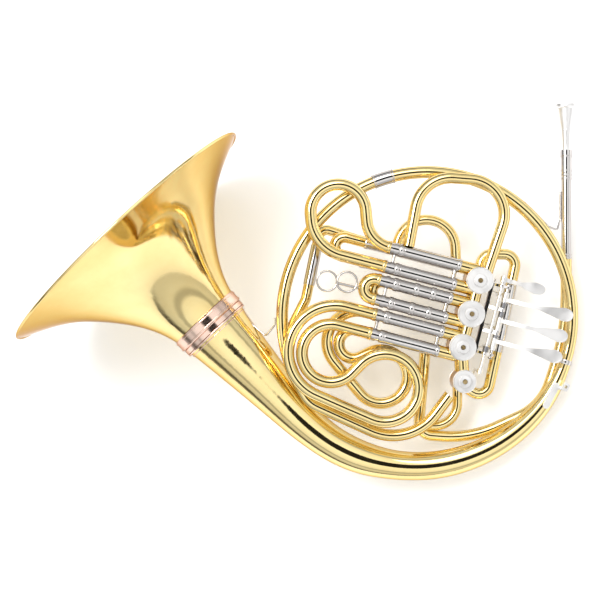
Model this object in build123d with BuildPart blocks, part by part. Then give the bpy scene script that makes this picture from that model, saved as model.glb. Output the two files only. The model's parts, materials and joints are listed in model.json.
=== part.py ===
from build123d import *
from math import asin, atan2, copysign, cos, hypot, pi, radians, sin
import os

# Double french horn lying on its back.  The pieces are drawn in the body frame: the main ring lies in
# the XY plane about the origin and +Z points from the ring to the valve caps.  Lengths are millimetres.

# ---- tubing -------------------------------------------------------------------------------------
TUBE = 12.7            # outer diameter of the crooks and slide sleeves
BORE = 11.0            # bore of the crooks
SLEEVE_BORE = 11.9     # bore of the slide sleeves
SLIDE_TUBE = 11.8      # outer diameter of the inner slide legs
SLIDE_BORE = 10.8

# ---- layers above and below the ring plane --------------------------------------------------------
FRONT = 14.0           # slides of the F side
BACK = -9.0            # slides of the B flat side
LEADPIPE_Z = -17.5
DEEP = -22.5           # left tuning crook
BELL_Z = -20.0         # bell axis

# ---- ring, tail and bell --------------------------------------------------------------------------
RING = 153.6           # centreline radius of the main ring
FERRULE_AT = 107.5     # place of the ring ferrule, degrees round the ring
TAIL_AT = -18.0        # where the ring turns into the tapered tail
TAIL_BREAK = -45.0     # where the tail leaves the ring circle
TAIL_SHIFT = 18.5      # distance between the centres of the two tail arcs
BELL_HEADING = 133.5   # direction of the bell axis
TAIL_STRAIGHT = 124.0  # straight end of the tail before the screw ring
WALL = 0.7
BELL_THROAT = 40.3
BELL_PROFILE = ((38.0, 49.5), (75.0, 75.0), (106.0, 108.0), (122.0, 137.0), (131.0, 157.0))

# ---- valves ----------------------------------------------------------------------------------------
ROW_HEADING = 75.5     # direction of the valve row, third valve to first
VALVE_PITCH = 36.0
VALVE_2 = (44.3, 3.5)
CHANGE_VALVE = (37.2, -67.1)
CASING_R = 13.6
CHANGE_R = 11.6
CASING_WALL = 1.6
CASING_TOP = 25.0
CASING_BOTTOM = -20.0
LEG_OFFSET = 10.3      # slide legs either side of the valve axis
KNUCKLE_END = 22.0     # end of the casing's short tube stubs, from the valve axis

# ---- levers ----------------------------------------------------------------------------------------
AXLE_P = 31.8          # lever axle beside the valve row
AXLE_Z = 12.0
AXLE_R = 1.6
LEVER_S = (23.5, 1.0, -21.3)
TAIL_S = (28.5, -7.5, -28.5)   # lever tails along the row
ROD_S = (30.9, -5.1, -30.9)    # link rods along the row
TAIL_P = 27.5
CRANK_Z = -29.5        # height of the link rods
STOP_R = 6.0           # stop arm radius
CHANGE_STOP_R = 6.8
THUMB_P = 24.5         # thumb shaft beside the valve row
THUMB_Z = 17.0


def unit(heading):
    return Vector(cos(radians(heading)), sin(radians(heading)))


ROW = unit(ROW_HEADING)
SIDE = unit(ROW_HEADING - 90)       # from the valves towards the levers
LEFT = unit(ROW_HEADING + 90)       # from the valves towards the slides
VALVES = [Vector(*VALVE_2) + ROW * (VALVE_PITCH * step) for step in (1, 0, -1)]
CHANGE = Vector(*CHANGE_VALVE)


def at_row(p, s, z=0.0):
    """Point p beside the valve row and s along it, measured from the second valve."""
    return VALVES[1] + SIDE * p + ROW * s + Vector(0, 0, z)


def row_plane(p, s, z):
    """Plane with x to the levers, y along the valve row."""
    return Plane(origin=at_row(p, s, z), x_dir=SIDE, z_dir=(0, 0, 1))


def leg(valve, side, reach):
    """Point on a slide leg: side +1 or -1 of valve 0, 1 or 2, reach from the valve axis."""
    point = VALVES[valve] + ROW * (LEG_OFFSET * side) + LEFT * reach
    return (point.X, point.Y)


def bend_at(point, heading, radius):
    """Round of that radius whose edge touches point in that heading; radius > 0 turns left."""
    x, y = point
    return (x - radius * sin(radians(heading)), y + radius * cos(radians(heading)), radius)


def route(z, *stops):
    """Flat path at height z: straight runs between end points (x, y), tangent to rounds (x, y, radius)."""
    rounds = [stop if len(stop) == 3 else (stop[0], stop[1], 0.0) for stop in stops]
    headings = []
    for (x1, y1, r1), (x2, y2, r2) in zip(rounds, rounds[1:]):
        headings.append(atan2(y2 - y1, x2 - x1) - asin((r2 - r1) / hypot(x2 - x1, y2 - y1)))

    def edge_of(bend, heading):
        x, y, radius = bend
        return (x + radius * sin(heading), y - radius * cos(heading))

    with BuildLine(Plane.XY.offset(z)) as path:
        for number, heading in enumerate(headings):
            Line(edge_of(rounds[number], heading), edge_of(rounds[number + 1], heading))
            if number + 1 < len(headings):
                bend = rounds[number + 1]
                sign = copysign(1, bend[2])
                turn = sign * (sign * (headings[number + 1] - heading) % (2 * pi))
                middle = edge_of(bend, heading + turn / 2)
                ThreePointArc(edge_of(bend, heading), middle, edge_of(bend, heading + turn))
    return path.wires()[0]


def tube(path, outer=TUBE, bore=BORE):
    """Pipe along a path."""
    start = Plane(origin=path @ 0, z_dir=path % 0)
    with BuildPart() as pipe:
        with BuildSketch(start):
            Circle(outer / 2)
            if bore:
                Circle(bore / 2, mode=Mode.SUBTRACT)
        sweep(path=path)
    return pipe.part


def rod(start, end, outer=TUBE, bore=BORE):
    """Straight pipe, or a solid rod when bore is 0."""
    run = Vector(*end) - Vector(*start)
    with BuildPart() as pipe:
        with BuildSketch(Plane(origin=start, z_dir=run)):
            Circle(outer / 2)
            if bore:
                Circle(bore / 2, mode=Mode.SUBTRACT)
        extrude(amount=run.length)
    return pipe.part


def upright(x, y, low, high, outer, inner=0.0):
    """Cylinder standing on Z from low to high."""
    with BuildPart() as post:
        with BuildSketch(Plane(origin=(x, y, low))):
            Circle(outer)
            if inner:
                Circle(inner, mode=Mode.SUBTRACT)
        extrude(amount=high - low)
    return post.part


# The horn lies on its bell rim and on the bend of its leadpipe, with the ring tipped up at the bell side.
UP = Vector(-0.282, 0.1377, 0.949)
REST_POINT = (-110.9, 13.9, -108.58)      # middle of the footprint, on the floor
ACROSS = Vector(1, 0, 0) - UP * (UP.X / UP.dot(UP))
LAY_DOWN = Plane(origin=REST_POINT, x_dir=ACROSS, z_dir=UP).location.inverse()


def finish(name, part):
    """Label a piece, lay it down and write it."""
    placed = LAY_DOWN * part
    placed.label = name
    export_step(placed, f"parts/{name}.step")


os.makedirs("parts", exist_ok=True)

# ==== bell, tail and ring ==============================================================================

tail_centre = Vector(-TAIL_SHIFT * cos(radians(TAIL_BREAK)), -TAIL_SHIFT * sin(radians(TAIL_BREAK)))
tail_radius = RING + TAIL_SHIFT
bell_way = unit(BELL_HEADING)
tail_end = tail_centre - unit(BELL_HEADING - 90) * tail_radius
ARC_END = BELL_HEADING - 270        # angle round the second arc where the tail turns straight


def tail_station(angle, z):
    """Plane across the tail at that angle of its arcs."""
    if angle >= TAIL_BREAK:
        centre = unit(angle) * RING
    else:
        centre = tail_centre + unit(angle) * tail_radius
    return Plane(origin=centre + Vector(0, 0, z), z_dir=unit(angle - 90))


def straight_station(along, z):
    """Plane across the straight end of the tail."""
    return Plane(origin=tail_end + bell_way * along + Vector(0, 0, z), z_dir=bell_way)


# Stations of the tail: plane across it and outer radius.
tail_sections = [
    (tail_station(TAIL_AT, 0), TUBE / 2 + 0.2),
    (tail_station(-26, -0.2), 7.6),
    (tail_station(-36, -0.8), 9.4),
    (tail_station(-57, -3.2), 12.4),
    (tail_station(-80, -7.0), 14.6),
    (tail_station(-100, -10.8), 16.0),
    (tail_station(-120, -15.8), 18.7),
    (tail_station(ARC_END, -19.2), 21.6),
    (straight_station(48, -20), 27.2),
    (straight_station(90, BELL_Z), 32.4),
    (straight_station(TAIL_STRAIGHT, BELL_Z), 37.2),
]
with BuildPart() as tail_solid:
    for plane, radius in tail_sections:
        with BuildSketch(plane):
            Circle(radius + 0.02)
    loft()
with BuildPart() as bell_tail:
    for plane, radius in tail_sections:
        with BuildSketch(plane):
            Circle(radius)
    loft()
    for plane, radius in tail_sections:
        with BuildSketch(plane):
            Circle(radius - WALL)
    loft(mode=Mode.SUBTRACT)
finish("bell_tail", bell_tail.part)

# Everything on the bell is turned about the bell axis; the clamp plane is z = 0 of this plane.
CLAMP = 8.0          # from the end of the tail to the middle of the screw ring
RING_BAND = 12.7
clamp_middle = tail_end + bell_way * (TAIL_STRAIGHT + CLAMP) + Vector(0, 0, BELL_Z)
bell_plane = Plane(origin=clamp_middle, x_dir=(0, 0, 1), z_dir=bell_way)
# Profile plane: x runs along the bell axis and y is the radius.
profile_plane = Plane(origin=clamp_middle, x_dir=bell_way, z_dir=bell_plane.y_dir * -1)
bell_axis = Axis(clamp_middle, bell_way)


SEAM = 12.7          # width of the screw ring

with BuildPart() as bell_flare:
    with BuildSketch(profile_plane):
        with BuildLine():
            outer = Spline((SEAM + 0.1, BELL_THROAT), *BELL_PROFILE)
            inside = [outer @ (step / 6) + (outer % (step / 6)).rotate(Axis.Z, -90) * WALL for step in range(7)]
            inner = Spline(*inside)
            Line(outer @ 0, inner @ 0)
            Line(outer @ 1, inner @ 1)
        make_face()
    revolve(axis=bell_axis)
finish("bell_flare", bell_flare.part)


def turned(plane, axis, *corners):
    """Solid turned about an axis from a closed outline of (along, radius) corners."""
    with BuildPart() as piece:
        with BuildSketch(plane):
            with BuildLine():
                Polyline(*corners, close=True)
            make_face()
        revolve(axis=axis)
    return piece.part


RIM_WIRE = 1.6
with BuildPart() as bell_rim_wire:
    with BuildSketch(profile_plane):
        with Locations((132.0, 158.35)):
            Circle(RIM_WIRE)
    revolve(axis=bell_axis)
finish("bell_rim_wire", bell_rim_wire.part)

finish("bell_screw_ring", turned(
    profile_plane, bell_axis,
    (0.3, 38.1), (0.3, 40.6), (0.9, 41.2), (SEAM - 0.6, 41.4), (SEAM, 40.9), (SEAM, 38.1),
))
finish("tail_screw_collar", turned(
    profile_plane, bell_axis,
    (-CLAMP, 35.9), (-CLAMP, 38.6), (-6.0, 38.6), (-5.4, 40.2), (-0.6, 40.2), (0, 39.6),
    (0, 37.6), (10.5, 37.6), (10.5, 35.9),
))

ring_start = unit(FERRULE_AT - 2.6) * RING
ring_end = unit(TAIL_AT) * RING
with BuildLine() as ring_path:
    CenterArc((0, 0), RING, FERRULE_AT - 2.6, TAIL_AT - FERRULE_AT + 2.6)
ring_tube = tube(ring_path.wires()[0], TUBE + 0.4, BORE + 0.4)
finish("ring_tube", ring_tube)

CHANGE_ENTRY = (33.0, -71.0)
branch_start = unit(FERRULE_AT + 2.6) * RING
branch_path = route(
    0, (branch_start.X, branch_start.Y), (0, 0, RING), (-103.7, -67.4, 30), (-36, -69.5, 56), CHANGE_ENTRY,
)
change_column = upright(CHANGE.X, CHANGE.Y, -40, 40, CHANGE_R + 0.02)
branch_cut = upright(CHANGE.X, CHANGE.Y, -40, 40, 21.0)
with BuildPart() as branch_tube:
    add(tube(branch_path, TUBE, BORE))
    add(branch_cut, mode=Mode.SUBTRACT)
finish("branch_tube", branch_tube.part)

# ==== leadpipe and mouthpiece ==========================================================================

LEAD_X = 150.5
RECEIVER_TOP = 178.5
RECEIVER_FOOT = 150.0
CROOK_TOP = 62.0
lead_axis = Axis((LEAD_X, 0, LEADPIPE_Z), (0, 1, 0))
lead_plane = Plane(origin=(LEAD_X, 0, LEADPIPE_Z), x_dir=(0, 1, 0), z_dir=(0, 0, 1))

finish("mouthpiece", turned(
    lead_plane, lead_axis,
    (227.4, 8.6), (228.2, 10.4), (227.4, 12.2), (224.6, 12.3), (223.0, 9.9), (200, 5.6),
    (184, 4.2), (160, 3.5), (160, 2.6), (204, 2.2), (221, 6.6),
))
finish("mouthpiece_receiver", turned(
    lead_plane, lead_axis, (RECEIVER_FOOT, 4.0), (RECEIVER_FOOT, 5.1), (155, 5.6), (172, 5.6), (173, 6.1),
    (RECEIVER_TOP, 6.1), (RECEIVER_TOP, 4.3), (RECEIVER_FOOT + 8, 4.2),
))
finish("leadpipe", rod((LEAD_X, RECEIVER_FOOT, LEADPIPE_Z), (LEAD_X, CROOK_TOP, LEADPIPE_Z), 10.2, 8.6))

T6_SADDLE = leg(2, -1, 33.0)
crook_path = route(
    LEADPIPE_Z, (LEAD_X, CROOK_TOP),
    (-109.5, 25, -260), (74.6, -50.6, -61.5), (27, -8.2, -120), (7, -113, -14),
    (T6_SADDLE[0] - 1, T6_SADDLE[1]),
)
CROOK = 11.8
crook_body = tube(crook_path, CROOK + 0.04, 0)


def leg_column(valve, side, z, low, high):
    """Solid rod where a slide sleeve lies, a hair thicker, for cutting tubes that meet it."""
    start = (*leg(valve, side, low), z)
    return rod(start, (*leg(valve, side, high), z), TUBE + 0.04, 0)


with BuildPart() as leadpipe_crook:
    add(tube(crook_path, CROOK, 10.2))
    add(leg_column(2, -1, BACK, 10, 60), mode=Mode.SUBTRACT)
finish("leadpipe_crook", leadpipe_crook.part.solids().sort_by(SortBy.VOLUME)[-1])

# ==== valves ===========================================================================================

KNUCKLES = [(side, z) for side in (1, -1) for z in (FRONT, BACK)]
ROTOR_LOW = CASING_BOTTOM + 5
ROTOR_HIGH = CASING_TOP - 5
PIN_R = 2.4


def casing(centre, radius, with_knuckles):
    """Valve casing with the stubs that its slide sleeves stand on."""
    with BuildPart() as shell:
        add(upright(centre.X, centre.Y, CASING_BOTTOM, CASING_TOP, radius))
        for side, z in KNUCKLES if with_knuckles else ():
            start = centre + ROW * (LEG_OFFSET * side) + Vector(0, 0, z)
            add(rod(start + LEFT * 3, start + LEFT * KNUCKLE_END, TUBE, 0))
            add(rod(start + LEFT * 5, start + LEFT * KNUCKLE_END, BORE, 0), mode=Mode.SUBTRACT)
        add(upright(centre.X, centre.Y, CASING_BOTTOM, CASING_TOP, radius - CASING_WALL), mode=Mode.SUBTRACT)
    return shell.part


def rotor(centre, radius, stop_radius, stop_way, passages):
    """Rotor with its spindle, the passages on its sides, and the stop arm with its pin."""
    x, y = centre.X, centre.Y
    pin = centre + stop_way * stop_radius
    with BuildPart() as body:
        add(upright(x, y, ROTOR_LOW, ROTOR_HIGH, radius))
        for side, z in KNUCKLES if passages else ():
            start = centre + ROW * ((LEG_OFFSET + 1) * side) + LEFT * -20 + Vector(0, 0, z)
            add(rod(start, start + LEFT * 40, BORE, 0), mode=Mode.SUBTRACT)
        add(upright(x, y, ROTOR_HIGH, CASING_TOP + 6.2, PIN_R))
        add(upright(x, y, CASING_BOTTOM - 6, ROTOR_LOW, PIN_R))
        add(upright(x, y, CASING_BOTTOM - 6, CASING_BOTTOM - 2.4, 4.2))
        with BuildSketch(Plane(origin=(x, y, CASING_BOTTOM - 6), x_dir=stop_way, z_dir=(0, 0, 1))):
            with Locations((stop_radius, 0)):
                Circle(2.6)
            with Locations((-5.5, 0)):
                Circle(2.6)
            Circle(3.6)
            make_hull()
        extrude(amount=2.8)
        add(upright(pin.X, pin.Y, CRANK_Z - 2.4, CASING_BOTTOM - 5, 1.2))
        with BuildSketch(Plane(origin=(x, y, CASING_TOP + 6.2))):
            Rectangle(0.9, 6, rotation=35)
        extrude(amount=-0.9, mode=Mode.SUBTRACT)
    return body.part


def plate(centre, radius, low, high):
    """Bearing plate inside a casing."""
    return upright(centre.X, centre.Y, low, high, radius, PIN_R + 0.05)


def cap(centre, radius):
    """Screw cap with a raised boss round the spindle."""
    plane = Plane(origin=(centre.X, centre.Y, CASING_TOP + 0.05), x_dir=(0, 0, 1), z_dir=(0, 1, 0))
    axis = Axis((centre.X, centre.Y, 0), (0, 0, 1))
    return turned(
        plane, axis, (0, PIN_R + 0.3), (0, radius - 0.3), (0.4, radius), (2.9, radius), (3.6, radius - 0.8),
        (3.4, 7.2), (4.0, 6.6), (5.2, 6.2), (5.4, PIN_R + 0.3),
    )


# Each valve: name, centre, casing radius, direction of the stop pin at rest, which way it turns.
TOWARDS_THIRD = (SIDE - ROW).normalized()
TOWARDS_FIRST = (SIDE + ROW).normalized()
VALVE_SET = [
    ("valve_1", VALVES[0], CASING_R, TOWARDS_THIRD, -1),
    ("valve_2", VALVES[1], CASING_R, TOWARDS_THIRD, -1),
    ("valve_3", VALVES[2], CASING_R, TOWARDS_FIRST, 1),
    ("change_valve", CHANGE, CHANGE_R, TOWARDS_FIRST, 1),
]
caps, plates, bumpers = [], [], []
for name, centre, radius, stop_way, turn in VALVE_SET:
    finger = name != "change_valve"
    stop_radius = STOP_R if finger else CHANGE_STOP_R
    finish(f"{name}_casing", casing(centre, radius, finger))
    inside_radius = radius - CASING_WALL
    finish(f"{name}_rotor", rotor(centre, inside_radius - 0.25, stop_radius, stop_way, finger))
    caps.append(cap(centre, radius + 0.4))
    plates.append(plate(centre, inside_radius - 0.02, ROTOR_HIGH + 0.2, CASING_TOP - 0.5))
    plates.append(plate(centre, inside_radius - 0.02, CASING_BOTTOM + 0.2, ROTOR_LOW - 0.2))
    plates.append(plate(centre, radius + 0.3, CASING_BOTTOM - 1.6, CASING_BOTTOM - 0.05))
    for bearing in (180 - 32 * turn, 180 + 122 * turn):
        spot = centre + stop_way.rotate(Axis.Z, bearing) * 8.5
        bumpers.append(upright(spot.X, spot.Y, CASING_BOTTOM - 5.6, CASING_BOTTOM - 1.65, 1.7))
finish("valve_caps", Compound(caps))
finish("bearing_plates", Compound(plates))
finish("stop_bumpers", Compound(bumpers))

# Short tubes between neighbouring casings, in both layers.
crossovers = []
for (near, near_r), (far, far_r) in zip(
    [(VALVES[0], CASING_R), (VALVES[1], CASING_R), (VALVES[2], CASING_R)],
    [(VALVES[1], CASING_R), (VALVES[2], CASING_R), (CHANGE, CHANGE_R)],
):
    for z in (FRONT, BACK):
        lift = Vector(0, 0, z)
        with BuildPart() as link:
            add(rod(near + lift, far + lift, TUBE, BORE))
            add(upright(near.X, near.Y, -40, 40, near_r + 0.02), mode=Mode.SUBTRACT)
            add(upright(far.X, far.Y, -40, 40, far_r + 0.02), mode=Mode.SUBTRACT)
            for valve, side in ((0, -1), (1, 1), (1, -1), (2, 1), (2, -1)):
                add(leg_column(valve, side, z, 3, KNUCKLE_END), mode=Mode.SUBTRACT)
        crossovers.append(link.part.solids().sort_by(SortBy.VOLUME)[-1])
finish("valve_crossovers", Compound(crossovers))

# ==== slides ===========================================================================================

# Reach of each pair of sleeves from the valve axis, and of the bow end, for the two layers.
FRONT_SLEEVE = (89.0, 86.0, 87.0)
FRONT_BOW = (99.0, 101.0, 96.0)
BACK_SLEEVE = (125.0, 84.0, 82.0)
BACK_BOW = (143.0, 92.0, 90.0)


def pair(valve, z, low, high, outer, bore):
    """Two parallel tubes on the legs of a valve."""
    return [rod((*leg(valve, side, low), z), (*leg(valve, side, high), z), outer, bore) for side in (1, -1)]


sleeves = {FRONT: [], BACK: []}
for z, reaches in ((FRONT, FRONT_SLEEVE), (BACK, BACK_SLEEVE)):
    for valve, reach in enumerate(reaches):
        sleeves[z] += pair(valve, z, KNUCKLE_END + 0.02, reach, TUBE, SLEEVE_BORE + 0.1)
finish("front_slide_sleeves", Compound(sleeves[FRONT]))
finish("back_slide_sleeves", Compound(sleeves[BACK]))

HEAD = ROW_HEADING + 90            # heading of the slides away from the valves
BACK_HOME = HEAD - 180
NEST = 45.0                        # how far the inner legs start inside the sleeves
SLIDE_BRACE = 92.6                 # cross brace of a front slide

bow_1 = route(
    FRONT, leg(0, -1, FRONT_BOW[0]), bend_at(leg(0, -1, 146.6), HEAD, -42.5), (-94.5, 110.5, -29),
    bend_at(leg(0, 1, 100.5), BACK_HOME, 31), leg(0, 1, FRONT_BOW[0]),
)
bow_2 = route(
    FRONT, leg(1, -1, FRONT_BOW[1]), bend_at(leg(1, -1, 104.7), HEAD, -LEG_OFFSET), leg(1, 1, FRONT_BOW[1]),
)
bow_3 = route(
    FRONT, leg(2, 1, FRONT_BOW[2]),
    bend_at(leg(2, 1, 127.7), HEAD, 49), (-32.6, 38.1, 144), (-45.3, -74.4, 35.7),
    bend_at(leg(2, -1, 131.4), BACK_HOME, -30.5), leg(2, -1, FRONT_BOW[2]),
)
back_bow_1 = route(
    BACK, leg(0, -1, BACK_BOW[0]), bend_at(leg(0, -1, 145), HEAD, -LEG_OFFSET), leg(0, 1, BACK_BOW[0]),
)
back_bow_2 = route(
    BACK, leg(1, -1, BACK_BOW[1]), bend_at(leg(1, -1, 95), HEAD, -LEG_OFFSET), leg(1, 1, BACK_BOW[1]),
)
back_bow_3 = route(
    BACK, leg(2, 1, BACK_BOW[2]), bend_at(leg(2, 1, 106), HEAD, 33), (-48.5, -63.6, 28.5),
    bend_at(leg(2, -1, 110), BACK_HOME, -15.5), leg(2, -1, BACK_BOW[2]),
)
for number, path, reach in zip((1, 2, 3), (bow_1, bow_2, bow_3), FRONT_BOW):
    valve = number - 1
    finish(f"front_slide_{number}_bow", tube(path))
    with BuildPart() as slide_legs:
        add(rod((*leg(valve, 1, SLIDE_BRACE), FRONT), (*leg(valve, -1, SLIDE_BRACE), FRONT), 3.4, 0))
        for side in (1, -1):
            cuff = [(*leg(valve, side, SLIDE_BRACE + half), FRONT) for half in (-2, 2)]
            add(rod(*cuff, 13.4, 0))
            add(rod((*leg(valve, side, NEST), FRONT), (*leg(valve, side, reach - 0.02), FRONT), SLIDE_TUBE, 0))
        for side in (1, -1):
            bore = rod((*leg(valve, side, NEST), FRONT), (*leg(valve, side, reach), FRONT), SLIDE_BORE, 0)
            add(bore, mode=Mode.SUBTRACT)
    finish(f"front_slide_{number}_legs", slide_legs.part)
for number, path, reach in zip((1, 2, 3), (back_bow_1, back_bow_2, back_bow_3), BACK_BOW):
    with BuildPart() as bow:
        add(tube(path, 12.2, SLIDE_BORE))
        for part in pair(number - 1, BACK, NEST, reach, SLIDE_TUBE, SLIDE_BORE):
            add(part)
    finish(f"back_slide_{number}", bow.part)

# Brace rods between the two sleeves of a pair, and short posts between the two layers.
sleeve_braces = []
for valve in range(3):
    with BuildPart() as stay:
        add(rod((*leg(valve, 1, 27), FRONT), (*leg(valve, -1, 27), FRONT), 4.4, 0))
        for side in (1, -1):
            add(leg_column(valve, side, FRONT, 20, 35), mode=Mode.SUBTRACT)
    sleeve_braces.append(stay.part)
    for side in (1, -1):
        x, y = leg(valve, side, 66)
        with BuildPart() as stay:
            add(upright(x, y, BACK, FRONT, 2.0))
            add(leg_column(valve, side, FRONT, 50, 80), mode=Mode.SUBTRACT)
            add(leg_column(valve, side, BACK, 50, 80), mode=Mode.SUBTRACT)
        sleeve_braces.append(stay.part)
finish("sleeve_braces", Compound(sleeve_braces))


def wire_ring(x, y, z, radius, thick):
    """Flat wire circle."""
    plane = Plane(origin=(x, y, z), x_dir=(1, 0, 0), z_dir=(0, -1, 0))
    with BuildPart() as loop:
        with BuildSketch(plane):
            with Locations((radius, 0)):
                Circle(thick / 2)
        revolve(axis=Axis((x, y, z), (0, 0, 1)))
    return loop.part


bow_2_cut = tube(bow_2, TUBE + 0.04, 0)
with BuildPart() as pull_rings:
    add(rod((-96.2, 36.1, FRONT), (-66, 28.8, FRONT), 3, 0))
    add(wire_ring(-106.3, 38.0, FRONT, 10.5, 2.4))
    add(wire_ring(-85.2, 36.9, FRONT + 2.2, 10.5, 2.4))
    add(bow_2_cut, mode=Mode.SUBTRACT)
finish("pull_rings", pull_rings.part.solids().sort_by(SortBy.VOLUME)[-1])

# ==== crooks ===========================================================================================

valve_1_column = upright(VALVES[0].X, VALVES[0].Y, -40, 40, CASING_R + 0.02)
arch_path = route(FRONT, (-20.6, 74.5), (24, 109, -37.5), (43, 108, -37), (60, 42))
with BuildPart() as arch_crook:
    add(tube(arch_path, 12.2, 10.6))
    add(leg_column(0, 1, FRONT, 3, 100), mode=Mode.SUBTRACT)
    add(valve_1_column, mode=Mode.SUBTRACT)
finish("arch_crook", arch_crook.part.solids().sort_by(SortBy.VOLUME)[-1])

small_arch_path = route(BACK, (31.6, 58), (0, 72.5, 31), (-31.2, 72))
with BuildPart() as small_arch:
    add(tube(small_arch_path, 11, 9.6))
    add(leg_column(0, 1, BACK, 3, 126), mode=Mode.SUBTRACT)
finish("small_arch_crook", small_arch.part.solids().sort_by(SortBy.VOLUME)[-1])

RIGHT_BOW = 11.5
RIGHT_TOP = Vector(83, 55.4)
RIGHT_LOW = Vector(56, -70.4)
right_path = route(
    BACK, (56.8, 47.5), (70.5, 54.6, -12.5), (RIGHT_TOP.X, RIGHT_TOP.Y, -RIGHT_BOW),
    (RIGHT_LOW.X, RIGHT_LOW.Y, -RIGHT_BOW), (43, -76),
)
with BuildPart() as right_crook:
    add(tube(right_path, 11.7, 10.2))
    add(valve_1_column, mode=Mode.SUBTRACT)
    add(leg_column(0, 1, BACK, 0, 30), mode=Mode.SUBTRACT)
    add(change_column, mode=Mode.SUBTRACT)
finish("right_crook", right_crook.part.solids().sort_by(SortBy.VOLUME)[-1])
right_way = (RIGHT_LOW - RIGHT_TOP).normalized()
right_edge = RIGHT_TOP + right_way.rotate(Axis.Z, 90) * RIGHT_BOW + Vector(0, 0, BACK)
right_crook_sleeve = rod(right_edge + right_way * 14, right_edge + right_way * 92, 12.6, 11.74)

CHANGE_CROOK_Z = -13.0
change_crook_path = route(CHANGE_CROOK_Z, (33.5, -70), (9.3, -92, -24.2), (-6, -116.2))
with BuildPart() as change_crook:
    add(tube(change_crook_path, 10.4, 9))
    add(change_column, mode=Mode.SUBTRACT)
    add(crook_body, mode=Mode.SUBTRACT)
finish("change_valve_crook", change_crook.part.solids().sort_by(SortBy.VOLUME)[-1])

T1_FOOT = leg(0, 1, 118)
branch_body = tube(branch_path, TUBE + 0.04, 0)
with BuildLine() as deep_path:
    FilletPolyline(
        (*T1_FOOT, BACK), (*T1_FOOT, DEEP), (-112.5, 96, DEEP), (-128.4, 19, DEEP), (-150.5, -25, DEEP),
        (-150.5, -25, 0), radius=9,
    )
with BuildPart() as deep_crook:
    add(tube(deep_path.wires()[0], 11, 9.6))
    add(leg_column(0, 1, BACK, 100, 130), mode=Mode.SUBTRACT)
    add(branch_body, mode=Mode.SUBTRACT)
finish("deep_crook", deep_crook.part.solids().sort_by(SortBy.VOLUME)[-1])
deep_crook_sleeve = rod((-116.5, 76.6, DEEP), (-125.2, 34.5, DEEP), 12.2, 11.1)
finish("crook_sleeves", Compound([right_crook_sleeve, deep_crook_sleeve]))

# ==== levers ===========================================================================================

HUB_R = 3.3
PRESS = 12.0           # travel of a lever, degrees


def hull_plate(s, thick, *circles):
    """Plate across the valve row at s: the hull of circles (p, z, radius)."""
    with BuildPart() as piece:
        with BuildSketch(Plane(origin=at_row(0, s), x_dir=SIDE, z_dir=ROW * -1)):
            for p, z, radius in circles:
                with Locations((p, z)):
                    Circle(radius)
            make_hull()
        extrude(amount=thick / 2, both=True)
    return piece.part


def along_row(p, z, s_start, s_end, radius):
    """Solid rod along the valve row."""
    return rod(at_row(p, s_start, z), at_row(p, s_end, z), 2 * radius, 0)


def touch_piece(s, outline, arm, paddle):
    """Arm and touch plate: a side outline of (p, z) points with even thickness, cut to its plan shape."""
    with BuildPart() as piece:
        with BuildSketch(Plane(origin=at_row(0, s), x_dir=SIDE, z_dir=ROW * -1)):
            with BuildLine():
                upper = Spline(*[(p, z + 1.2) for p, z in outline])
                lower = Spline(*[(p, z - 1.2) for p, z in outline])
                Line(upper @ 0, lower @ 0)
                Line(upper @ 1, lower @ 1)
            make_face()
        extrude(amount=12, both=True)
        with BuildSketch(row_plane(0, s, -40)) as plan:
            for p, radius in paddle:
                with Locations((p, 0)):
                    Circle(radius)
            make_hull()
            with Locations(((arm[0] + arm[1]) / 2, 0)):
                Rectangle(arm[1] - arm[0], arm[2])
        extrude(amount=90, mode=Mode.INTERSECT)
    return piece.part


LEVER_LINE = ((AXLE_P, AXLE_Z + 1), (41, 18.6), (54, 22.6), (72, 24.8), (88, 24.6), (104, 25.4))
for number, (s_arm, s_tail) in enumerate(zip(LEVER_S, TAIL_S), 1):
    ends = sorted((s_arm, s_tail))
    with BuildPart() as lever:
        add(touch_piece(s_arm, LEVER_LINE, (AXLE_P, 68, 3.8), ((67, 1.9), (94, 7.0), (96.5, 6.6))))
        add(along_row(AXLE_P, AXLE_Z, ends[0] - 2.8, ends[1] + 2.8, HUB_R))
        add(hull_plate(s_tail, 2.4, (AXLE_P, AXLE_Z, 2.4), (TAIL_P, -1, 1.5)))
        add(hull_plate(s_tail, 2.4, (TAIL_P, -1, 1.5), (TAIL_P, CRANK_Z, 2.2)))
        add(along_row(AXLE_P, AXLE_Z, -60, 60, AXLE_R + 0.05), mode=Mode.SUBTRACT)
        add(along_row(TAIL_P, CRANK_Z, s_tail - 3, s_tail + 3, 1.05), mode=Mode.SUBTRACT)
    finish(f"finger_lever_{number}", lever.part)

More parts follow.
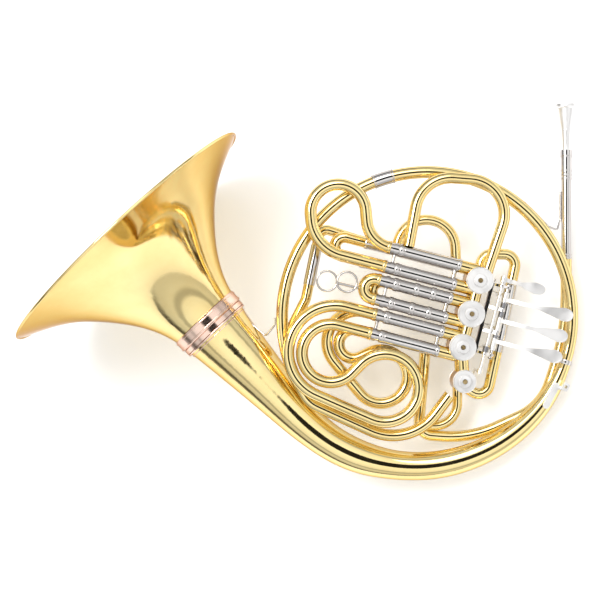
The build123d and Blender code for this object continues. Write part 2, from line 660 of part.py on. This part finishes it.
THUMB_LINE = ((THUMB_P, THUMB_Z + 1), (33, 17), (41, 10.5), (49, 6), (60, 4.6), (73, 5.4))
THUMB_S = 43.4
CRANK_S = -56.0
CHANGE_ROD_S = -64.3
with BuildPart() as thumb_lever:
    add(touch_piece(THUMB_S, THUMB_LINE, (THUMB_P, 52, 4.2), ((49, 3.2), (61, 6.2), (66, 5.6))))
    add(along_row(THUMB_P, THUMB_Z, THUMB_S - 3.2, THUMB_S + 3.2, HUB_R))
    add(along_row(THUMB_P, THUMB_Z, THUMB_S - 10, THUMB_S + 10, 1.62), mode=Mode.SUBTRACT)
finish("thumb_lever", thumb_lever.part)
with BuildPart() as thumb_crank:
    add(along_row(THUMB_P, THUMB_Z, CRANK_S - 2.2, CRANK_S + 2.8, 2.9))
    add(hull_plate(CRANK_S, 2.4, (THUMB_P, THUMB_Z, 2.2), (THUMB_P, CRANK_Z, 2.2)))
    add(along_row(THUMB_P, THUMB_Z, CRANK_S - 10, CRANK_S + 10, 1.62), mode=Mode.SUBTRACT)
    add(along_row(THUMB_P, CRANK_Z, CRANK_S - 3, CRANK_S + 3, 1.05), mode=Mode.SUBTRACT)
finish("thumb_crank", thumb_crank.part)
finish("thumb_shaft", along_row(THUMB_P, THUMB_Z, CRANK_S - 3, THUMB_S + 4, 1.6))
finish("lever_axle", along_row(AXLE_P, AXLE_Z, -39.4, 39.4, AXLE_R))

BRACKET_S = (36.5, 12.3, -12.6, -36.5)
BRACKET_P = CASING_R + 0.05
with BuildPart() as lever_bracket:
    with BuildSketch(row_plane(BRACKET_P + 1.5, 0, 4)):
        Rectangle(3, 76)
    extrude(amount=8)
    for s in BRACKET_S:
        add(hull_plate(s, 2.8, (BRACKET_P + 1.6, 8, 1.5), (AXLE_P, AXLE_Z, 3.3)))
        if abs(s) > 20:
            add(hull_plate(s, 2.8, (20, 9, 1.6), (THUMB_P, THUMB_Z, 3.0), (AXLE_P - 1, AXLE_Z, 2.2)))
    add(along_row(AXLE_P, AXLE_Z, -60, 60, AXLE_R), mode=Mode.SUBTRACT)
    add(along_row(THUMB_P, THUMB_Z, -60, 60, 1.65), mode=Mode.SUBTRACT)
finish("lever_bracket", lever_bracket.part)


def coil(p, z, s_start, s_end):
    """Torsion spring round an axle, drawn as touching turns."""
    plane = Plane(origin=at_row(p, s_start, z), x_dir=ROW, z_dir=(0, 0, 1))
    turns = int((s_end - s_start) / 1.0)
    with BuildPart() as spring:
        with BuildSketch(plane):
            for step in range(turns):
                with Locations((0.6 + step, -2.6)):
                    Circle(0.55)
        revolve(axis=Axis(at_row(p, s_start, z), ROW))
    return spring.part


finish("lever_springs", Compound([
    coil(AXLE_P, AXLE_Z, 14.1, 20.3), coil(AXLE_P, AXLE_Z, 4.3, 10.7), coil(AXLE_P, AXLE_Z, -18.1, -14.2),
    coil(THUMB_P, THUMB_Z, -35, -28.5),
]))


def link_rod(tail_p, tail_s, rod_s, pin_p):
    """Rod from a lever tail to a stop pin, with the cross pin that turns in the tail."""
    eye = at_row(pin_p, rod_s)
    way = copysign(1, rod_s - tail_s)
    with BuildPart() as piece:
        add(rod(at_row(pin_p, rod_s, CRANK_Z), at_row(tail_p + 1, rod_s, CRANK_Z), 2, 0))
        add(along_row(tail_p, CRANK_Z, tail_s - 1.6 * way, rod_s, 1.0))
        add(upright(eye.X, eye.Y, CRANK_Z - 1, CRANK_Z + 1, 4.2))
        add(upright(eye.X, eye.Y, CRANK_Z - 2, CRANK_Z + 2, 2.7), mode=Mode.SUBTRACT)
    return piece.part


PIN_P = STOP_R * cos(radians(45))
for number, (tail_s, rod_s) in enumerate(zip(TAIL_S, ROD_S), 1):
    finish(f"link_rod_{number}", link_rod(TAIL_P, tail_s, rod_s, PIN_P))
CHANGE_P = (CHANGE - VALVES[1]).dot(SIDE)
CHANGE_PIN_P = CHANGE_P + CHANGE_STOP_R * cos(radians(45))
finish("link_rod_change", link_rod(THUMB_P, CRANK_S, CHANGE_ROD_S, CHANGE_PIN_P))

# ==== braces and ferrules ==============================================================================

with BuildLine() as ferrule_path:
    CenterArc((0, 0), RING, FERRULE_AT - 3.4, 6.8)
finish("ring_ferrule", tube(ferrule_path.wires()[0], 14.4, TUBE + 0.44))

with BuildLine() as bell_brace_path:
    FilletPolyline(
        (-197, 8, -14), (-186.5, -7.5, -12), (-171, -20.5, -8), (-161.3, -8, -1), (-161.3, -1, 0), radius=4,
    )
with BuildPart() as bell_brace:
    add(tube(bell_brace_path.wires()[0], 2.2, 0))
    with BuildLine() as leaf_path:
        CenterArc((0, 0), RING + 7.5, 180, -11)
    add(tube(leaf_path.wires()[0], 2.2, 0))
    add(tail_solid.part, mode=Mode.SUBTRACT)
    add(branch_body, mode=Mode.SUBTRACT)
finish("bell_brace", bell_brace.part.solids().sort_by(SortBy.VOLUME)[-1])

with BuildLine() as lead_brace_path:
    FilletPolyline(
        (103, 121.7, 0), (130, 96, -7), (140, 93, -13), (144.2, 104, LEADPIPE_Z), (144.2, 134, LEADPIPE_Z),
        radius=3,
    )
with BuildPart() as leadpipe_brace:
    add(tube(lead_brace_path.wires()[0], 2.2, 0))
    add(tube(ring_path.wires()[0], TUBE + 0.44, 0), mode=Mode.SUBTRACT)
finish("leadpipe_brace", leadpipe_brace.part.solids().sort_by(SortBy.VOLUME)[-1])

HOLDER = (144.2, -73.1)
with BuildPart() as lyre_holder:
    with BuildSketch(Plane(origin=(130.0, -82.8, 0), x_dir=(-0.46, -0.888, 0), z_dir=(0, 0, 1))):
        SlotOverall(30, 7)
    extrude(amount=10.4)
    with BuildSketch(Plane(origin=(*HOLDER, 3))):
        Rectangle(7, 8.5, rotation=-30)
        Rectangle(3, 3, rotation=-30, mode=Mode.SUBTRACT)
    extrude(amount=14)
    with BuildSketch(Plane(origin=(139, -74.6, 5))):
        Rectangle(8, 4, rotation=-10)
    extrude(amount=5)
    add(tail_solid.part, mode=Mode.SUBTRACT)
finish("lyre_holder", lyre_holder.part.solids().sort_by(SortBy.VOLUME)[-1])
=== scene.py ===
import json
import bpy
import bmesh
from math import cos, pi, radians, sin
from mathutils import Matrix, Vector


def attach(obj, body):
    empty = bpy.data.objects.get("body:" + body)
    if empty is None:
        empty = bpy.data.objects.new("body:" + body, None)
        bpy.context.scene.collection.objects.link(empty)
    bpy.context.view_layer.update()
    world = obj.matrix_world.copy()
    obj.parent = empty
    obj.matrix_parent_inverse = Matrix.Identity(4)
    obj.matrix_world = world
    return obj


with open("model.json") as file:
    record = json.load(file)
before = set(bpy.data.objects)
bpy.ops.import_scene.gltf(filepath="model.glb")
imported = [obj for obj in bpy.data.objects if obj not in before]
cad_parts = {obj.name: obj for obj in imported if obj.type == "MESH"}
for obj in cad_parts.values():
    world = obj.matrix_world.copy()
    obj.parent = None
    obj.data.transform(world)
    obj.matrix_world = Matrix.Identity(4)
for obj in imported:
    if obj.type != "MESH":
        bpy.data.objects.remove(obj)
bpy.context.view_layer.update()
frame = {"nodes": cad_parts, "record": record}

# ---- the drawing frame of the horn: ring centre origin, ring in XY, +Z to the valve caps, millimetres ----
UP = Vector((-0.282, 0.1377, 0.949)).normalized()
REST_POINT = Vector((-110.9, 13.9, -108.58))
ACROSS = (Vector((1, 0, 0)) - UP * UP.x).normalized()
AWAY = UP.cross(ACROSS)
TURN = Matrix((ACROSS, AWAY, UP))

RING = 153.6                 # centreline radius of the main ring
FRONT = 14.0                 # height of the front slides
BACK = -9.0                  # height of the back slides
LEADPIPE_Z = -17.5
LEG_OFFSET = 10.3            # from the middle of a slide to each of its legs
LEAD_X = 150.5
TAIL_RADIUS = 172.1          # second arc of the tail
TAIL_STRAIGHT = 132.0        # from that arc to the screw ring
BELL_Z = -20
AXLE_P = 31.8                # lever axle beside the valve row
AXLE_Z = 12.0

# inner radii of the bands, a hair over the outside of each tube
ON_SLEEVE = 6.36
ON_RING = 6.62
ON_LEADPIPE = 5.15
ON_RECEIVER = 5.65


def heading(angle):
    """Direction in the ring plane, degrees from +X."""
    return Vector((cos(radians(angle)), sin(radians(angle)), 0))


ROW, SIDE, LEFT = heading(75.5), heading(-14.5), heading(165.5)
VALVES = [Vector((44.3, 3.5, 0)) + ROW * (36.0 * step) for step in (1, 0, -1)]
CHANGE = Vector((37.2, -67.1, 0))
BELL_WAY = heading(133.5)
TAIL_CENTRE = -18.5 * heading(-45)
CLAMP = TAIL_CENTRE - heading(43.5) * TAIL_RADIUS + BELL_WAY * TAIL_STRAIGHT + Vector((0, 0, BELL_Z))


def place(point):
    """Point of the drawing frame, in the row frame in metres."""
    return TURN @ (Vector(point) - REST_POINT) / 1000


def at_row(p, s, z=0.0):
    """Point p beside the second valve, s along the valve row and z up."""
    return VALVES[1] + SIDE * p + ROW * s + Vector((0, 0, z))


def leg(valve, side, reach, z):
    """Point on the centreline of a slide leg, reach out from the valve row."""
    return VALVES[valve] + ROW * (LEG_OFFSET * side) + LEFT * reach + Vector((0, 0, z))


# ---- materials --------------------------------------------------------------------------------------

def metal(name, light, dark, rough, coat=0.0, scale=1.0, lines=0.0, grain=0.04, edge=(1, 1, 1)):
    """Polished metal: cloudy colour, smudged gloss and fine marks."""
    material = bpy.data.materials.new(name)
    material.use_nodes = True
    nodes, links = material.node_tree.nodes, material.node_tree.links
    shader = nodes["Principled BSDF"]
    shader.inputs["Metallic"].default_value = 1.0
    shader.inputs["Specular Tint"].default_value = (*edge, 1)
    shader.inputs["Coat Weight"].default_value = coat
    shader.inputs["Coat Roughness"].default_value = 0.04
    shader.inputs["Coat IOR"].default_value = 1.5
    coords = nodes.new("ShaderNodeTexCoord")
    cloud = nodes.new("ShaderNodeTexNoise")
    cloud.inputs["Scale"].default_value = 14 * scale
    cloud.inputs["Detail"].default_value = 5
    cloud.inputs["Roughness"].default_value = 0.62
    links.new(coords.outputs["Object"], cloud.inputs["Vector"])
    tint = nodes.new("ShaderNodeValToRGB")
    tint.color_ramp.elements[0].position = 0.3
    tint.color_ramp.elements[0].color = (*dark, 1)
    tint.color_ramp.elements[1].position = 0.62
    tint.color_ramp.elements[1].color = (*light, 1)
    links.new(cloud.outputs["Fac"], tint.inputs["Fac"])
    links.new(tint.outputs["Color"], shader.inputs["Base Color"])
    smudge = nodes.new("ShaderNodeTexNoise")
    smudge.inputs["Scale"].default_value = 46 * scale
    smudge.inputs["Detail"].default_value = 7
    smudge.inputs["Distortion"].default_value = 0.6
    links.new(coords.outputs["Object"], smudge.inputs["Vector"])
    gloss = nodes.new("ShaderNodeMapRange")
    gloss.inputs["From Min"].default_value = 0.35
    gloss.inputs["From Max"].default_value = 0.75
    gloss.inputs["To Min"].default_value = rough
    gloss.inputs["To Max"].default_value = rough * 1.7 + 0.02
    links.new(smudge.outputs["Fac"], gloss.inputs["Value"])
    links.new(gloss.outputs["Result"], shader.inputs["Roughness"])
    marks = nodes.new("ShaderNodeTexNoise")
    marks.inputs["Scale"].default_value = 900
    marks.inputs["Detail"].default_value = 3
    stretch = nodes.new("ShaderNodeMapping")
    stretch.inputs["Scale"].default_value = (1.0, 1.0 + lines, 0.35)
    links.new(coords.outputs["Object"], stretch.inputs["Vector"])
    links.new(stretch.outputs["Vector"], marks.inputs["Vector"])
    bump = nodes.new("ShaderNodeBump")
    bump.inputs["Strength"].default_value = grain
    bump.inputs["Distance"].default_value = 0.0002
    links.new(marks.outputs["Fac"], bump.inputs["Height"])
    links.new(bump.outputs["Normal"], shader.inputs["Normal"])
    return material


brass = metal(
    "lacquered_brass", (0.95, 0.78, 0.38), (0.89, 0.68, 0.29), 0.06, coat=0.3, edge=(0.50, 0.30, 0.10),
)
rose = metal("rose_brass", (0.93, 0.70, 0.58), (0.87, 0.62, 0.50), 0.12, coat=0.3, edge=(0.50, 0.28, 0.18))
nickel = metal(
    "nickel_silver", (0.76, 0.74, 0.72), (0.66, 0.63, 0.61), 0.07,
    lines=3.0, grain=0.06, edge=(0.25, 0.2, 0.2),
)
silver = metal("silver_plate", (0.93, 0.92, 0.91), (0.87, 0.86, 0.85), 0.34, grain=0.05)
satin = metal("satin_lever", (0.92, 0.91, 0.90), (0.84, 0.83, 0.82), 0.32, lines=6.0, grain=0.10)
machined = metal(
    "machined_brass", (0.76, 0.58, 0.30), (0.62, 0.45, 0.22), 0.22, scale=2.0, lines=8.0, grain=0.12,
)
steel = metal("spring_wire", (0.42, 0.42, 0.44), (0.30, 0.30, 0.32), 0.28, scale=3.0, grain=0.1)


def matt_rubber(name):
    """Dull black rubber with a fine mottle."""
    material = bpy.data.materials.new(name)
    material.use_nodes = True
    nodes, links = material.node_tree.nodes, material.node_tree.links
    shader = nodes["Principled BSDF"]
    noise = nodes.new("ShaderNodeTexNoise")
    noise.inputs["Scale"].default_value = 600
    tint = nodes.new("ShaderNodeValToRGB")
    tint.color_ramp.elements[0].color = (0.012, 0.012, 0.012, 1)
    tint.color_ramp.elements[1].color = (0.045, 0.043, 0.04, 1)
    links.new(noise.outputs["Fac"], tint.inputs["Fac"])
    links.new(tint.outputs["Color"], shader.inputs["Base Color"])
    shader.inputs["Roughness"].default_value = 0.75
    return material


rubber = matt_rubber("bumper_rubber")

SLOT_LOOK = {
    "yellow_brass": brass, "nickel_silver": nickel, "silver_plate": silver, "rose_brass": rose,
    "lever_nickel": satin, "rotor_brass": machined, "spring_steel": steel, "bumper_rubber": rubber,
}
slot_of = {entry["node"]: entry["material_slot"] for entry in frame["record"]["subparts"]}
for node, obj in frame["nodes"].items():
    look = SLOT_LOOK[slot_of[node]]
    if node in ("valve_caps", "mouthpiece", "lyre_holder"):
        look = silver
    for number in range(max(1, len(obj.material_slots))):
        if not obj.material_slots:
            obj.data.materials.append(look)
        else:
            obj.material_slots[number].material = look


# ---- mesh helpers -----------------------------------------------------------------------------------

def piece(name, mesh, look, body):
    """New piece in the row frame that rides on a body."""
    for polygon in mesh.polygons:
        polygon.use_smooth = True
    obj = bpy.data.objects.new(name, mesh)
    bpy.context.scene.collection.objects.link(obj)
    obj.data.materials.append(look)
    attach(obj, body)
    return obj


def lathe_into(build, origin, axis, profile, steps=48):
    """Adds a closed ring turned about an axis from (along, radius) corners, all in millimetres."""
    axis = Vector(axis).normalized()
    across = axis.orthogonal().normalized()
    third = axis.cross(across)
    rows = []
    for step in range(steps):
        angle = 2 * pi * step / steps
        out = across * cos(angle) + third * sin(angle)
        row = []
        for along, radius in profile:
            row.append(build.verts.new(place(Vector(origin) + axis * along + out * radius)))
        rows.append(row)
    count = len(profile)
    for step in range(steps):
        here, there = rows[step], rows[(step + 1) % steps]
        for number in range(count):
            after = (number + 1) % count
            build.faces.new((here[number], there[number], there[after], here[after]))


def bead(width, inner, proud, edge=0.25):
    """Profile of a rounded band round a tube."""
    half = width / 2
    top = inner + proud
    nip = edge * 0.4
    return [
        (-half, inner), (-half, top - edge), (-half + nip, top - nip), (-half + edge, top),
        (half - edge, top), (half - nip, top - nip), (half, top - edge), (half, inner),
    ]


def from_bmesh(name, build, look, body):
    """Turns a finished bmesh into a piece with crisp edges."""
    bmesh.ops.recalc_face_normals(build, faces=build.faces)
    mesh = bpy.data.meshes.new(name)
    build.to_mesh(mesh)
    build.free()
    made = piece(name, mesh, look, body)
    split = made.modifiers.new("edges", "EDGE_SPLIT")
    split.split_angle = radians(38)


def bands(name, body, look, places):
    """One piece of several bands: (origin, axis, profile) each."""
    build = bmesh.new()
    for origin, axis, profile in places:
        lathe_into(build, origin, axis, profile)
    from_bmesh(name, build, look, body)


def wire_into(build, points, radius, sides=10):
    """Adds a round wire through points, millimetres in the drawing frame."""
    points = [Vector(point) for point in points]
    loops = []
    for number, point in enumerate(points):
        ahead = points[min(number + 1, len(points) - 1)] - points[max(number - 1, 0)]
        ahead.normalize()
        if number == 0:
            across = ahead.orthogonal().normalized()
        else:
            across = (across - ahead * across.dot(ahead)).normalized()
        third = ahead.cross(across)
        loop = []
        for side in range(sides):
            angle = 2 * pi * side / sides
            loop.append(build.verts.new(place(point + (across * cos(angle) + third * sin(angle)) * radius)))
        loops.append(loop)
    for first, second in zip(loops, loops[1:]):
        for side in range(sides):
            after = (side + 1) % sides
            build.faces.new((first[side], first[after], second[after], second[side]))
    build.faces.new(loops[0][::-1])
    build.faces.new(loops[-1])


# ---- bands and ferrules -----------------------------------------------------------------------------
SLEEVE_ENDS = {FRONT: (89.0, 86.0, 87.0), BACK: (125.0, 84.0, 82.0)}     # of valves 1 to 3
SLEEVE_START = 24.2
BOW_STARTS = (99.0, 101.0, 96.0)
sleeve_bands = []
for z, ends in SLEEVE_ENDS.items():
    for valve, end in enumerate(ends):
        for side in (1, -1):
            sleeve_bands.append((leg(valve, side, end - 2.2, z), LEFT, bead(4.4, ON_SLEEVE, 0.55)))
            sleeve_bands.append((leg(valve, side, end - 6.0, z), LEFT, bead(1.2, ON_SLEEVE, 0.35)))
            sleeve_bands.append((leg(valve, side, SLEEVE_START, z), LEFT, bead(4.0, ON_SLEEVE, 0.55)))
for side in (1, -1):
    for reach in (43.0, 61.0):
        sleeve_bands.append((leg(1, side, reach, FRONT), LEFT, bead(5.0, ON_SLEEVE, 0.6)))
bands("sleeve_bands", "horn", nickel, sleeve_bands)
for number, reach in enumerate(BOW_STARTS, 1):
    places = []
    for side in (1, -1):
        places.append((leg(number - 1, side, reach + 1.4, FRONT), LEFT, bead(2.8, ON_SLEEVE, 0.5)))
        places.append((leg(number - 1, side, reach - 0.4, FRONT), LEFT, bead(0.8, ON_SLEEVE, 0.8)))
    bands(f"front_slide_{number}_bands", f"front_slide_{number}", brass, places)

# bands of the ring ferrule, the start of the tail, the leadpipe and the receiver
ring_bands = []
for angle in (103.6, 111.4):
    ring_bands.append((heading(angle) * RING, heading(angle - 90), bead(1.6, ON_RING, 1.0)))
ring_bands.append((heading(-18) * RING, heading(-108), bead(5.0, ON_RING, 0.7)))
for y in (63.5, 66.5, 148.0, 152.0):
    ring_bands.append((Vector((LEAD_X, y, LEADPIPE_Z)), (0, 1, 0), bead(2.0, ON_LEADPIPE, 0.9)))
for y in (156.5, 171.5):
    ring_bands.append((Vector((LEAD_X, y, LEADPIPE_Z)), (0, 1, 0), bead(1.4, ON_RECEIVER, 0.7)))
bands("ring_bands", "horn", nickel, ring_bands)
bands("mouthpiece_beads", "mouthpiece", silver, [
    (Vector((LEAD_X, 184.2, LEADPIPE_Z)), (0, 1, 0), bead(1.2, 4.15, 0.5)),
    (Vector((LEAD_X, 200.2, LEADPIPE_Z)), (0, 1, 0), bead(1.6, 5.5, 0.5)),
])

# two raised rings on the screw ring, and two on the collar below it
screw_beads = bmesh.new()
for along in (2.2, 10.4):
    lathe_into(screw_beads, CLAMP + BELL_WAY * along, BELL_WAY, bead(1.6, 41.25, 0.7), steps=128)
from_bmesh("screw_ring_beads", screw_beads, rose, "bell")
collar_beads = bmesh.new()
lathe_into(collar_beads, CLAMP + BELL_WAY * -6.9, BELL_WAY, bead(1.8, 38.5, 1.6), steps=128)
lathe_into(collar_beads, CLAMP + BELL_WAY * -10.4, BELL_WAY, bead(1.0, 36.9, 0.8), steps=128)
from_bmesh("tail_collar_beads", collar_beads, rose, "horn")

# ---- valves: rings on the caps, screws, and the spindle heads ----------------------------------------
cap_rings = []
for centre, radius in [(valve, 14.0) for valve in VALVES] + [(CHANGE, 12.0)]:
    for out, high in ((radius - 2.0, 28.45), (radius - 4.4, 28.4), (6.9, 28.9)):
        profile = [(0, out - 0.35), (0.32, out - 0.12), (0.32, out + 0.12), (0, out + 0.35)]
        cap_rings.append((centre + Vector((0, 0, high)), (0, 0, 1), profile))
    cap_rings.append((centre + Vector((0, 0, 22.9)), (0, 0, 1), bead(1.2, radius - 0.42, 0.6)))
    cap_rings.append((centre + Vector((0, 0, -18.6)), (0, 0, 1), bead(1.4, radius - 0.42, 0.6)))
bands("valve_cap_rings", "horn", silver, cap_rings)
rotors = [(f"valve_{number}_rotor", valve) for number, valve in enumerate(VALVES, 1)]
rotors.append(("change_valve_rotor", CHANGE))
head = [(0, 0.01), (0, 2.1), (0.45, 2.0), (0.8, 1.4), (0.9, 0.01)]
for name, centre in rotors:
    bands(f"{name}_screw", name, steel, [(centre + Vector((0, 0, -26.0)), (0, 0, -1), head)])

# screws at the ends of the lever axle, and those that hold the bracket
screws = []
axle_end = [(0, 0.01), (0, 2.7), (0.9, 2.5), (1.4, 1.9), (1.6, 0.01)]
for way in (1, -1):
    screws.append((at_row(AXLE_P, way * 39.4, AXLE_Z), ROW * way, axle_end))
dome = [(0, 0.01), (0, 1.9), (0.5, 1.8), (1.0, 1.1), (1.15, 0.01)]
for s in (36.5, 12.3, -12.6, -36.5):
    screws.append((at_row(16.7, s + 4.4, 8.0), SIDE, dome))
bands("bracket_screws", "horn", steel, screws)

# torsion spring legs that follow the lever arms
for number, (s_coil, s_lever) in enumerate(((20.0, 23.0), (4.6, 1.4), (-17.8, -20.6)), 1):
    leg_mesh = bmesh.new()
    start, bend = at_row(34.4, s_coil, 12.4), at_row(36.6, s_coil, 13.9)
    wire_into(leg_mesh, (start, bend, at_row(41.0, (s_coil + s_lever) / 2, 16.6)), 0.4)
    from_bmesh(f"spring_leg_{number}", leg_mesh, steel, f"finger_lever_{number}")

# edges of the touch plates: a thin raised lip that rises slightly to the tip
LEVER_S = (23.5, 1.0, -21.3)
LIP_STEPS = 24
for number, s in enumerate(LEVER_S, 1):
    lip = bmesh.new()
    outline = []
    for step in range(LIP_STEPS + 1):
        angle = radians(-118 + 236 * step / LIP_STEPS)
        p = 95.0 + 6.3 * cos(angle)
        outline.append(at_row(p, s + 6.1 * sin(angle), 25.95 + 0.004 * (p - 88)))
    wire_into(lip, outline, 0.28, sides=6)
    from_bmesh(f"finger_lever_{number}_lip", lip, satin, f"finger_lever_{number}")

# ---- floor, light and camera --------------------------------------------------------------------------
FLOOR = 6
floor_mesh = bpy.data.meshes.new("floor")
floor_corners = [(-FLOOR, -FLOOR, 0), (FLOOR, -FLOOR, 0), (FLOOR, FLOOR, 0), (-FLOOR, FLOOR, 0)]
floor_mesh.from_pydata(floor_corners, [], [(0, 1, 2, 3)])
floor = bpy.data.objects.new("floor", floor_mesh)
bpy.context.scene.collection.objects.link(floor)
floor_look = bpy.data.materials.new("pale_floor")
floor_look.use_nodes = True
floor_shader = floor_look.node_tree.nodes["Principled BSDF"]
floor_shader.inputs["Base Color"].default_value = (0.93, 0.93, 0.93, 1)
floor_shader.inputs["Roughness"].default_value = 0.9
floor_shader.inputs["Specular IOR Level"].default_value = 0.1
floor_shader.inputs["Emission Color"].default_value = (1, 1, 1, 1)
floor_shader.inputs["Emission Strength"].default_value = 0.28
floor_mesh.materials.append(floor_look)

# the studio is a set of grey rings round the direction that the ring plane faces
scene = bpy.context.scene
world = bpy.data.worlds.new("studio")
scene.world = world
world.use_nodes = True
nodes, links = world.node_tree.nodes, world.node_tree.links
background = nodes["Background"]
coords = nodes.new("ShaderNodeTexCoord")
facing = nodes.new("ShaderNodeVectorMath")
facing.operation = "DOT_PRODUCT"
facing.inputs[1].default_value = TURN @ Vector((0, 0, 1))
links.new(coords.outputs["Generated"], facing.inputs[0])
ramp = nodes.new("ShaderNodeValToRGB")
ramp.color_ramp.interpolation = "EASE"
stops = [
    (0.0, 0.30), (0.08, 0.06), (0.17, 0.25), (0.27, 0.75), (0.46, 0.85), (0.55, 0.55), (0.60, 0.58),
    (0.67, 1.10), (0.90, 1.30), (0.958, 1.35), (0.970, 0.02), (1.0, 0.02),
]
elements = ramp.color_ramp.elements
for position, value in stops:
    if position == 0.0:
        element = elements[0]
    elif position == 1.0:
        element = elements[len(elements) - 1]
    else:
        element = elements.new(position)
    element.color = (value, value, value, 1)
links.new(facing.outputs["Value"], ramp.inputs["Fac"])
links.new(ramp.outputs["Color"], background.inputs["Color"])
background.inputs["Strength"].default_value = 0.9


def lamp(name, point, size, power):
    """Square lamp aimed at the middle of the horn."""
    data = bpy.data.lights.new(name, "AREA")
    data.shape = "RECTANGLE"
    data.size = size
    data.size_y = size
    data.energy = power
    obj = bpy.data.objects.new(name, data)
    obj.location = point
    obj.rotation_euler = (Vector((0, 0, 0.05)) - Vector(point)).to_track_quat("-Z", "Y").to_euler()
    scene.collection.objects.link(obj)


lamp("key", (-0.45, 0.4, 2.3), 0.8, 22)
lamp("fill", (0.3, 0.9, 1.9), 0.9, 6)

# the camera looks straight down on the ring plane
EYE_HEIGHT = 1600
VIEW_WIDTH = 637             # millimetres seen across the ring plane
camera_data = bpy.data.cameras.new("camera")
camera_data.sensor_width = 36
camera_data.lens = 36 / VIEW_WIDTH * EYE_HEIGHT
camera = bpy.data.objects.new("camera", camera_data)
scene.collection.objects.link(camera)
eye = place((-134.1, 17.5, EYE_HEIGHT))
right, upward, back = TURN @ Vector((1, 0, 0)), TURN @ Vector((0, 1, 0)), TURN @ Vector((0, 0, 1))
pose = Matrix((right, upward, back)).transposed().to_4x4()
pose.translation = eye
camera.matrix_world = pose
scene.camera = camera
scene.view_settings.view_transform = "Standard"
